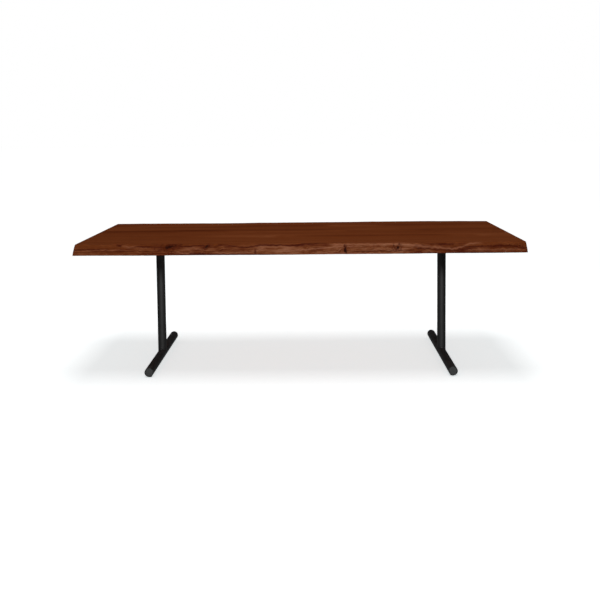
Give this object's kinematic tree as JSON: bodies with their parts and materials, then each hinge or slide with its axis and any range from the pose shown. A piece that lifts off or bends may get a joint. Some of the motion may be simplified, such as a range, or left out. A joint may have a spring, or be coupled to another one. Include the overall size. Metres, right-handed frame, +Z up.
{
  "type": "butcher block dining table",
  "caption": "Long dining table with a solid live-edge plank top on two black round-tube T-shaped pedestal legs with levelling glides.",
  "frame": {"origin": "on the floor, under the centre of the table top's outline", "axes": "+X along the table's length, +Y towards its rear edge, +Z up; the front live edge faces -Y"},
  "size_m": [2.438, 1.046, 0.762],
  "materials": {
    "stained_wood": "satin red-brown stain and clear lacquer over open grain",
    "black_steel": "satin black powder coat",
    "cap_plastic": "matt moulded",
    "pad_plastic": "matt moulded",
    "zinc_steel": "zinc plated",
    "insert_brass": "turned"
  },
  "bodies": {
    "table": {"front_live_edge_board": "stained_wood", "stave_1": "stained_wood", "stave_2": "stained_wood", "stave_3": "stained_wood", "stave_4": "stained_wood", "stave_5": "stained_wood", "stave_6": "stained_wood", "rear_live_edge_board": "stained_wood", "left_post": "black_steel", "left_base_tube": "black_steel", "left_mounting_plate": "black_steel", "left_bolt_1": "zinc_steel", "left_bolt_2": "zinc_steel", "left_bolt_3": "zinc_steel", "left_bolt_4": "zinc_steel", "left_bolt_5": "zinc_steel", "left_bolt_6": "zinc_steel", "left_insert_1": "insert_brass", "left_insert_2": "insert_brass", "left_insert_3": "insert_brass", "left_insert_4": "insert_brass", "left_insert_5": "insert_brass", "left_insert_6": "insert_brass", "left_front_end_cap": "cap_plastic", "left_front_weld_nut": "zinc_steel", "left_rear_end_cap": "cap_plastic", "left_rear_weld_nut": "zinc_steel", "right_post": "black_steel", "right_base_tube": "black_steel", "right_mounting_plate": "black_steel", "right_bolt_1": "zinc_steel", "right_bolt_2": "zinc_steel", "right_bolt_3": "zinc_steel", "right_bolt_4": "zinc_steel", "right_bolt_5": "zinc_steel", "right_bolt_6": "zinc_steel", "right_insert_1": "insert_brass", "right_insert_2": "insert_brass", "right_insert_3": "insert_brass", "right_insert_4": "insert_brass", "right_insert_5": "insert_brass", "right_insert_6": "insert_brass", "right_front_end_cap": "cap_plastic", "right_front_weld_nut": "zinc_steel", "right_rear_end_cap": "cap_plastic", "right_rear_weld_nut": "zinc_steel"},
    "left_front_glide": {"left_front_glide_pad": "pad_plastic", "left_front_glide_stud": "zinc_steel"},
    "left_rear_glide": {"left_rear_glide_pad": "pad_plastic", "left_rear_glide_stud": "zinc_steel"},
    "right_front_glide": {"right_front_glide_pad": "pad_plastic", "right_front_glide_stud": "zinc_steel"},
    "right_rear_glide": {"right_rear_glide_pad": "pad_plastic", "right_rear_glide_stud": "zinc_steel"}
  },
  "joints": [
    {"name": "left_front_glide_travel", "type": "slide", "parent": "table", "child": "left_front_glide", "axis": [0, 0, -1], "range_m": [0, 0.008]},
    {"name": "left_rear_glide_travel", "type": "slide", "parent": "table", "child": "left_rear_glide", "axis": [0, 0, -1], "range_m": [0, 0.008]},
    {"name": "right_front_glide_travel", "type": "slide", "parent": "table", "child": "right_front_glide", "axis": [0, 0, -1], "range_m": [0, 0.008]},
    {"name": "right_rear_glide_travel", "type": "slide", "parent": "table", "child": "right_rear_glide", "axis": [0, 0, -1], "range_m": [0, 0.008]}
  ]
}
